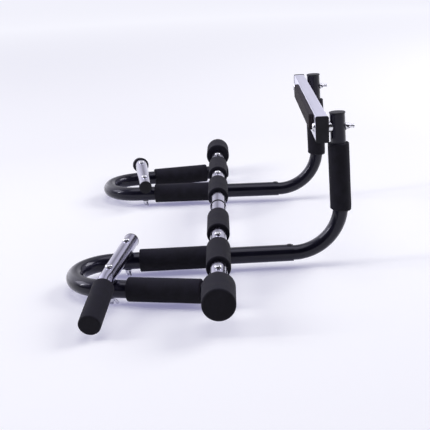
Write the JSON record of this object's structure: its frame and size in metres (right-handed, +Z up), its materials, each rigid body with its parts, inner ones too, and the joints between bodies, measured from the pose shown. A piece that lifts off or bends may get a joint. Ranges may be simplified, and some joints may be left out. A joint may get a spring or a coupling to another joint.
{
  "type": "pull up bar",
  "caption": "Doorway pull-up bar: foam-gripped main bar, looped neutral-grip arms, angled wide handles and a padded hook bar on posts.",
  "frame": {"origin": "under the middle of the part, on the plane of the bolt ends that it stands on", "axes": "+X from the user towards the door hook, +Y to the user's left along the main bar, +Z up"},
  "size_m": [0.4736, 0.988, 0.2596],
  "materials": {
    "bar_chrome": "bright plated tube",
    "black_paint": "gloss",
    "grip_foam": "matte foam skin",
    "pad_foam": "matte foam",
    "black_plastic": "moulded",
    "zinc_steel": "bright zinc"
  },
  "bodies": {
    "frame": {"joint_sleeve": "zinc_steel", "hook_bar": "bar_chrome", "wall_pad": "pad_foam", "saddle_washers": "zinc_steel", "main_bar_bolts": "zinc_steel", "handle_bolts": "zinc_steel", "hook_bolts": "zinc_steel", "washers": "zinc_steel", "main_bar_left": "bar_chrome", "bar_end_plug_left": "black_plastic", "bar_grip_inner_left": "grip_foam", "bar_grip_outer_left": "grip_foam", "bumper_left": "grip_foam", "loop_tube_left": "black_paint", "post_tube_left": "black_paint", "arm_cap_left": "black_plastic", "post_cap_left": "black_plastic", "arm_grip_inner_left": "grip_foam", "arm_grip_outer_left": "grip_foam", "post_grip_left": "grip_foam", "hole_plugs_left": "black_plastic", "wide_handle_left": "bar_chrome", "handle_cap_left": "black_plastic", "handle_grip_left": "grip_foam", "hook_cap_left": "black_plastic", "main_bar_right": "bar_chrome", "bar_end_plug_right": "black_plastic", "bar_grip_inner_right": "grip_foam", "bar_grip_outer_right": "grip_foam", "bumper_right": "grip_foam", "loop_tube_right": "black_paint", "post_tube_right": "black_paint", "arm_cap_right": "black_plastic", "post_cap_right": "black_plastic", "arm_grip_inner_right": "grip_foam", "arm_grip_outer_right": "grip_foam", "post_grip_right": "grip_foam", "hole_plugs_right": "black_plastic", "wide_handle_right": "bar_chrome", "handle_cap_right": "black_plastic", "handle_grip_right": "grip_foam", "hook_cap_right": "black_plastic"},
    "wing_nut_bar_inner_left": {"wing_nut_bar_inner_left": "zinc_steel"},
    "wing_nut_bar_outer_left": {"wing_nut_bar_outer_left": "zinc_steel"},
    "wing_nut_handle_inner_left": {"wing_nut_handle_inner_left": "zinc_steel"},
    "wing_nut_handle_outer_left": {"wing_nut_handle_outer_left": "zinc_steel"},
    "wing_nut_hook_left": {"wing_nut_hook_left": "zinc_steel"},
    "wing_nut_bar_inner_right": {"wing_nut_bar_inner_right": "zinc_steel"},
    "wing_nut_bar_outer_right": {"wing_nut_bar_outer_right": "zinc_steel"},
    "wing_nut_handle_inner_right": {"wing_nut_handle_inner_right": "zinc_steel"},
    "wing_nut_handle_outer_right": {"wing_nut_handle_outer_right": "zinc_steel"},
    "wing_nut_hook_right": {"wing_nut_hook_right": "zinc_steel"}
  },
  "joints": [
    {"name": "turn_bar_inner_left", "type": "hinge", "parent": "frame", "child": "wing_nut_bar_inner_left", "pos_m": [0.00879, 0.21, 0.008], "axis": [0, 0, 1], "continuous": true},
    {"name": "turn_bar_outer_left", "type": "hinge", "parent": "frame", "child": "wing_nut_bar_outer_left", "pos_m": [0.00879, 0.37449, 0.008], "axis": [0, 0, 1], "continuous": true},
    {"name": "turn_handle_inner_left", "type": "hinge", "parent": "frame", "child": "wing_nut_handle_inner_left", "pos_m": [-0.14363, 0.21346, 0.008], "axis": [0, 0, 1], "continuous": true},
    {"name": "turn_handle_outer_left", "type": "hinge", "parent": "frame", "child": "wing_nut_handle_outer_left", "pos_m": [-0.15873, 0.34193, 0.008], "axis": [0, 0, 1], "continuous": true},
    {"name": "turn_hook_left", "type": "hinge", "parent": "frame", "child": "wing_nut_hook_left", "pos_m": [0.22529, 0.20544, 0.2353], "axis": [1, 0, 0], "continuous": true},
    {"name": "turn_bar_inner_right", "type": "hinge", "parent": "frame", "child": "wing_nut_bar_inner_right", "pos_m": [0.00879, -0.21, 0.008], "axis": [0, 0, 1], "continuous": true},
    {"name": "turn_bar_outer_right", "type": "hinge", "parent": "frame", "child": "wing_nut_bar_outer_right", "pos_m": [0.00879, -0.37449, 0.008], "axis": [0, 0, 1], "continuous": true},
    {"name": "turn_handle_inner_right", "type": "hinge", "parent": "frame", "child": "wing_nut_handle_inner_right", "pos_m": [-0.14363, -0.21346, 0.008], "axis": [0, 0, 1], "continuous": true},
    {"name": "turn_handle_outer_right", "type": "hinge", "parent": "frame", "child": "wing_nut_handle_outer_right", "pos_m": [-0.15873, -0.34193, 0.008], "axis": [0, 0, 1], "continuous": true},
    {"name": "turn_hook_right", "type": "hinge", "parent": "frame", "child": "wing_nut_hook_right", "pos_m": [0.22529, -0.20544, 0.2353], "axis": [1, 0, 0], "continuous": true}
  ]
}
